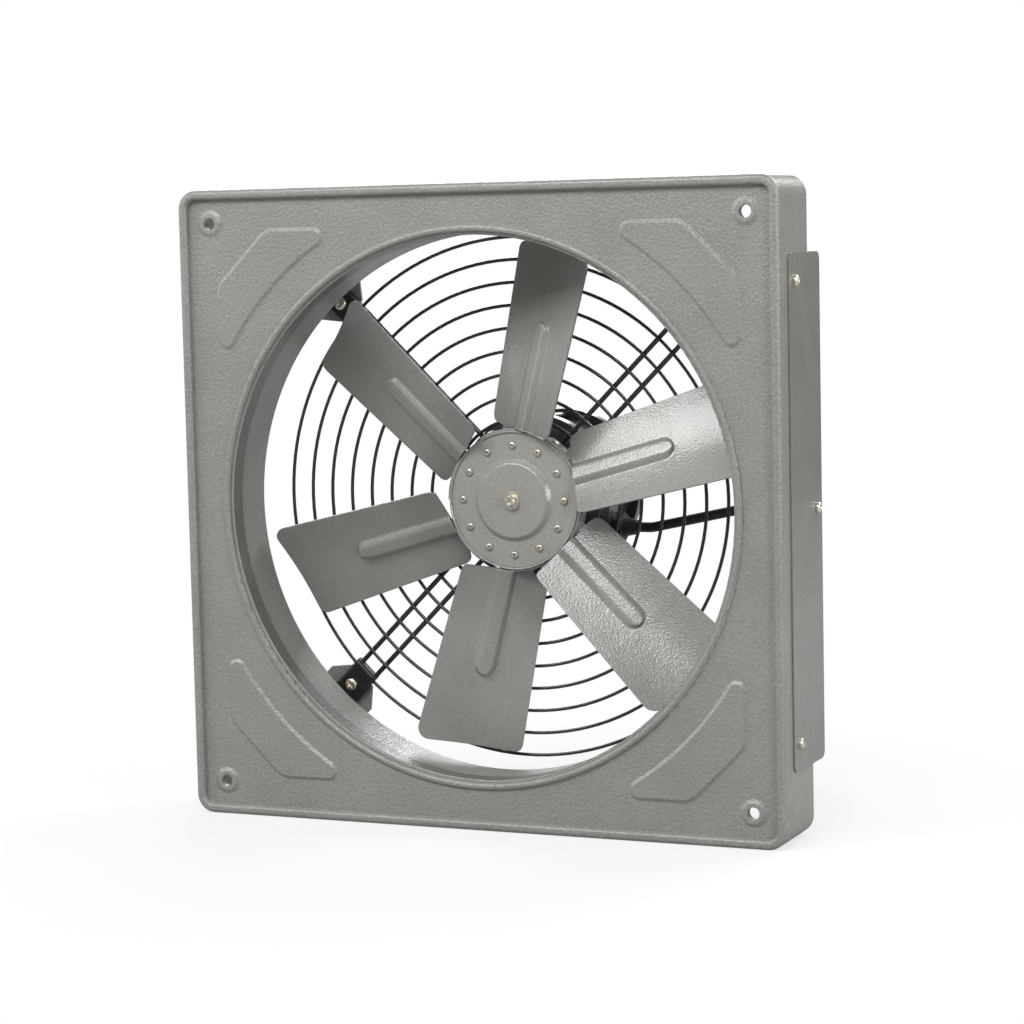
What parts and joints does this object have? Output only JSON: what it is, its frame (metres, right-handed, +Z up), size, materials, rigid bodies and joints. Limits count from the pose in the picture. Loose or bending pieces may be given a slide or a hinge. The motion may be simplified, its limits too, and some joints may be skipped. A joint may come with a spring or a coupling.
{
  "type": "industrial exhaust fan",
  "caption": "Square wall-mounted axial exhaust fan: pressed panel with a round throat, twisted sheet-metal blades on a drum hub, and a rear wire guard that carries the motor.",
  "frame": {"origin": "on the fan axis, at the middle of the wall-bolt pattern, in the plane where the bolts seat on their bosses", "axes": "+X to the right seen from the front, +Y from the front face to the rear along the fan axis, +Z up"},
  "size_m": [0.4748, 0.1952, 0.47],
  "materials": {
    "panel_paint": "satin hammertone",
    "blade_paint": "satin",
    "guard_black": "satin",
    "clamp_black": "satin",
    "motor_black": "satin",
    "zinc_yellow": "yellow zinc",
    "zinc_plated": "zinc",
    "flange_grey": "cast",
    "bare_steel": "ground",
    "gland_plastic": "matt",
    "lead_rubber": "matt"
  },
  "bodies": {
    "frame": {"bar_clamp_1": "clamp_black", "bar_clamp_2": "clamp_black", "bar_clamp_3": "clamp_black", "bar_clamp_4": "clamp_black", "bar_strap_1": "guard_black", "bar_strap_2": "guard_black", "bar_strap_3": "guard_black", "bar_strap_4": "guard_black", "box_gland": "gland_plastic", "clamp_screws": "zinc_yellow", "cover_screws": "zinc_yellow", "frame_panel": "panel_paint", "front_bearing": "bare_steel", "guard_bracket_1": "panel_paint", "guard_bracket_2": "panel_paint", "guard_bracket_3": "panel_paint", "guard_bracket_4": "panel_paint", "guard_rings": "guard_black", "motor_bolts": "zinc_plated", "motor_flange": "flange_grey", "motor_front_shield": "motor_black", "motor_gland": "gland_plastic", "motor_lead": "lead_rubber", "motor_rear_shield": "motor_black", "motor_shell": "motor_black", "rear_bearing": "bare_steel", "side_cover": "panel_paint", "stator": "bare_steel", "strap_screws": "zinc_plated", "supply_gland": "gland_plastic", "support_bars": "guard_black", "terminal_block": "gland_plastic", "terminal_box": "panel_paint", "throat_ring": "panel_paint"},
    "impeller": {"hub_drum": "blade_paint", "hub_front_plate": "blade_paint", "hub_screws": "zinc_plated", "hub_washer": "zinc_yellow", "hub_bolt": "zinc_yellow", "blade_rivets": "zinc_plated", "shaft": "bare_steel", "rotor": "bare_steel", "blade_1": "blade_paint", "blade_2": "blade_paint", "blade_3": "blade_paint", "blade_4": "blade_paint", "blade_5": "blade_paint", "blade_6": "blade_paint"}
  },
  "joints": [
    {"name": "impeller_spin", "type": "hinge", "parent": "frame", "child": "impeller", "pos_m": [0, 0.0815, 0], "axis": [0, -1, 0], "continuous": true}
  ]
}
